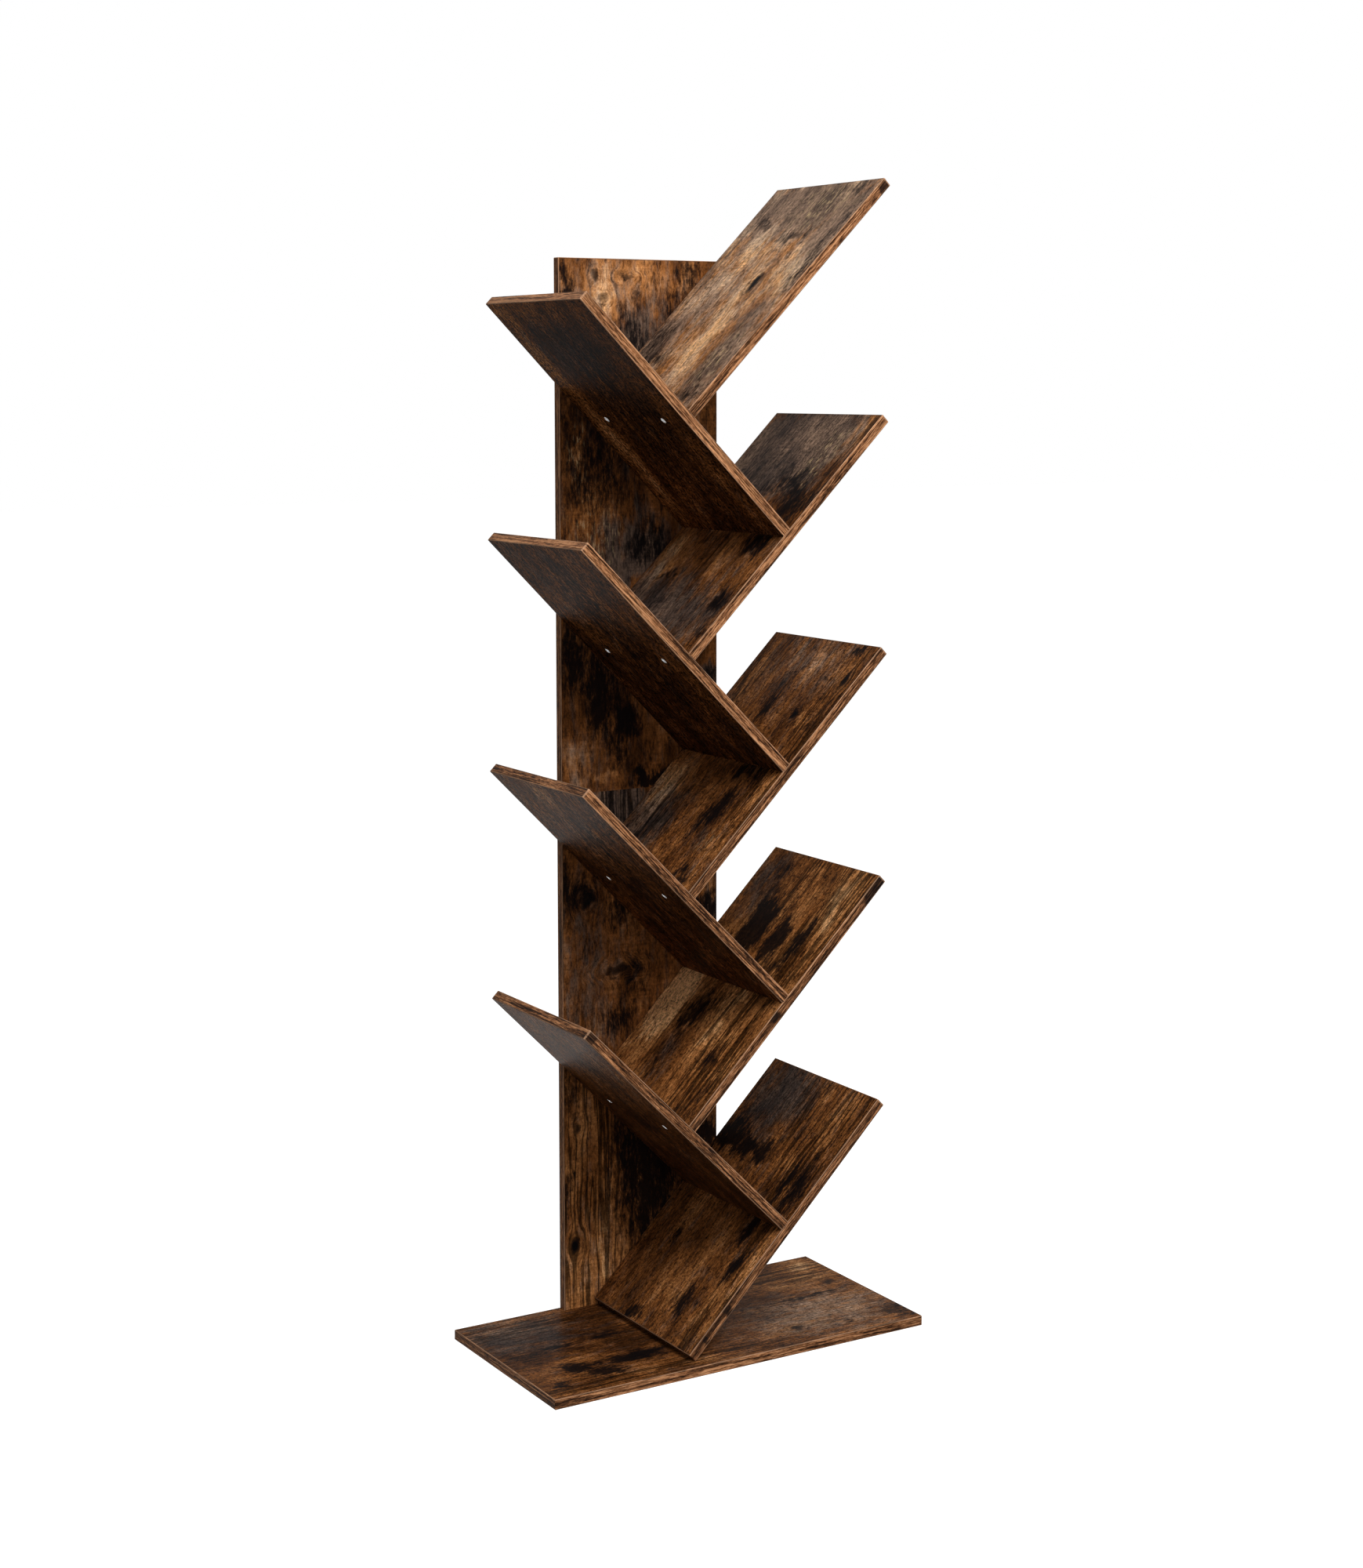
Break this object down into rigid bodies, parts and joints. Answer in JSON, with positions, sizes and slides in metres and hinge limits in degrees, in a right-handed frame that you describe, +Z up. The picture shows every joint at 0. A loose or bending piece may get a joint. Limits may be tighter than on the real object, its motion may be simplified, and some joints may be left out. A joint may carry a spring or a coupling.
{
  "type": "tree-shaped bookcase",
  "caption": "Free-standing bookcase with shelves leaning left and right by turns off an upright back panel, on a flat base board.",
  "frame": {"origin": "middle of the base board's underside, on the floor", "axes": "+Z up, +Y towards the wall behind the back panel, +X to the right seen from the front"},
  "size_m": [0.5, 0.25, 1.3565],
  "materials": {
    "printed_board": "satin melamine with a dark rustic wood print",
    "edge_band": "red-brown wood print",
    "zinc_plated_steel": "bright zinc plating",
    "beech": "bare"
  },
  "bodies": {
    "root": {"base_board": "printed_board", "lower_back_panel": "printed_board", "upper_back_panel": "printed_board", "right_shelf_1": "printed_board", "right_shelf_2": "printed_board", "right_shelf_3": "printed_board", "right_shelf_4": "printed_board", "right_shelf_5": "printed_board", "left_shelf_1": "printed_board", "left_shelf_2": "printed_board", "left_shelf_3": "printed_board", "left_shelf_4": "printed_board", "base_board_edge_bands": "edge_band", "lower_back_panel_edge_bands": "edge_band", "upper_back_panel_edge_bands": "edge_band", "right_shelf_1_edge_bands": "edge_band", "right_shelf_2_edge_bands": "edge_band", "right_shelf_3_edge_bands": "edge_band", "right_shelf_4_edge_bands": "edge_band", "right_shelf_5_edge_bands": "edge_band", "left_shelf_1_edge_bands": "edge_band", "left_shelf_2_edge_bands": "edge_band", "left_shelf_3_edge_bands": "edge_band", "left_shelf_4_edge_bands": "edge_band", "right_shelf_screws": "zinc_plated_steel", "left_shelf_screws": "zinc_plated_steel", "back_panel_screws": "zinc_plated_steel", "foot_screws": "zinc_plated_steel", "foot_dowels": "beech", "panel_joint_dowels": "beech"}
  },
  "joints": []
}
